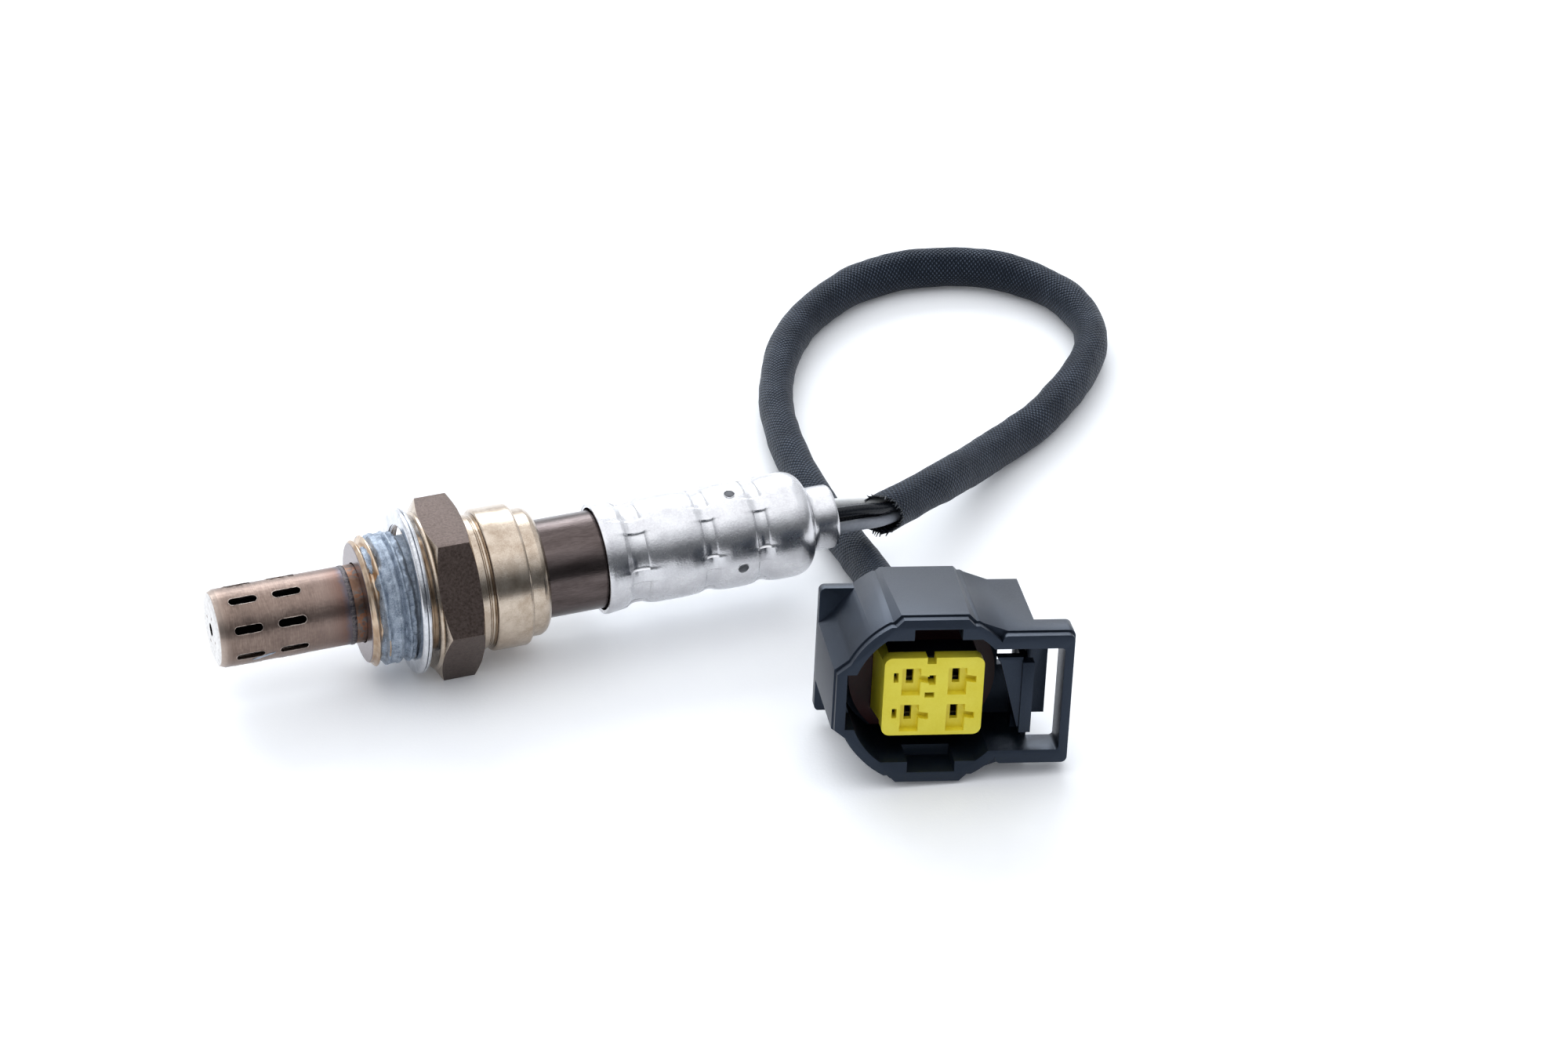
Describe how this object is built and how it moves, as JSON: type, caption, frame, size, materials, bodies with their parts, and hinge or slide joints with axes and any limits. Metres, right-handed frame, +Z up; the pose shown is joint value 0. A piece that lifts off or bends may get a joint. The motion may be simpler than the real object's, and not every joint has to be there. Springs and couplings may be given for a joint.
{
  "type": "oxygen sensor",
  "caption": "Heated exhaust oxygen sensor: slotted tip, M18 nose with hexagon and gasket, waisted steel cover, insulated wires in a braided sleeve to a latched rectangular socket",
  "frame": {"origin": "under the middle of the sensor, on the surface that a flat of the hexagon rests on", "axes": "+X along the sensor from tip to wires, +Z up, +Y by the right-hand rule"},
  "size_m": [0.1487, 0.1271, 0.0244],
  "materials": {
    "tip_steel": "heat-tinted stainless sheet, brushed lengthwise",
    "shell_steel": "turned and crimped steel with a champagne plating",
    "gasket_steel": "folded bright steel",
    "tube_steel": "drawn steel, browned",
    "cover_steel": "bright drawn stainless with a fine orange peel",
    "contact_steel": "stamped spring steel",
    "zirconia": "sintered ceramic",
    "talc": "pressed powder",
    "ptfe": "porous film",
    "grommet_rubber": "moulded black rubber",
    "white_insulation": "extruded insulation",
    "black_insulation": "extruded insulation",
    "grey_insulation": "extruded insulation",
    "braid": "braided black yarn",
    "housing_nylon": "moulded nylon, slate grey",
    "lock_nylon": "moulded yellow nylon",
    "seal_silicone": "dark red silicone",
    "terminal_brass": "stamped tinned brass"
  },
  "bodies": {
    "root": {"outer_shroud": "tip_steel", "shroud_base": "tip_steel", "inner_shroud": "tip_steel", "shell": "shell_steel", "gasket": "gasket_steel", "sensing_element": "zirconia", "seat_washer": "gasket_steel", "powder_packing": "talc", "packing_bush": "zirconia", "crimp_ring": "gasket_steel", "heater_rod": "zirconia", "outer_contact": "contact_steel", "inner_contact": "contact_steel", "heater_contact_a": "contact_steel", "heater_contact_b": "contact_steel", "inner_cover": "tube_steel", "rear_insulator": "zirconia", "insulator_spring": "contact_steel", "filter_sleeve": "cover_steel", "vent_filter": "ptfe", "outer_cover": "cover_steel", "grommet": "grommet_rubber", "white_wire": "white_insulation", "black_wire_a": "black_insulation", "black_wire_b": "black_insulation", "grey_wire": "grey_insulation", "braided_sleeve": "braid", "connector_housing": "housing_nylon", "terminal_lock": "lock_nylon", "interface_seal": "seal_silicone", "socket_terminals": "terminal_brass", "wire_seals": "seal_silicone", "rear_cover": "housing_nylon"}
  },
  "joints": []
}
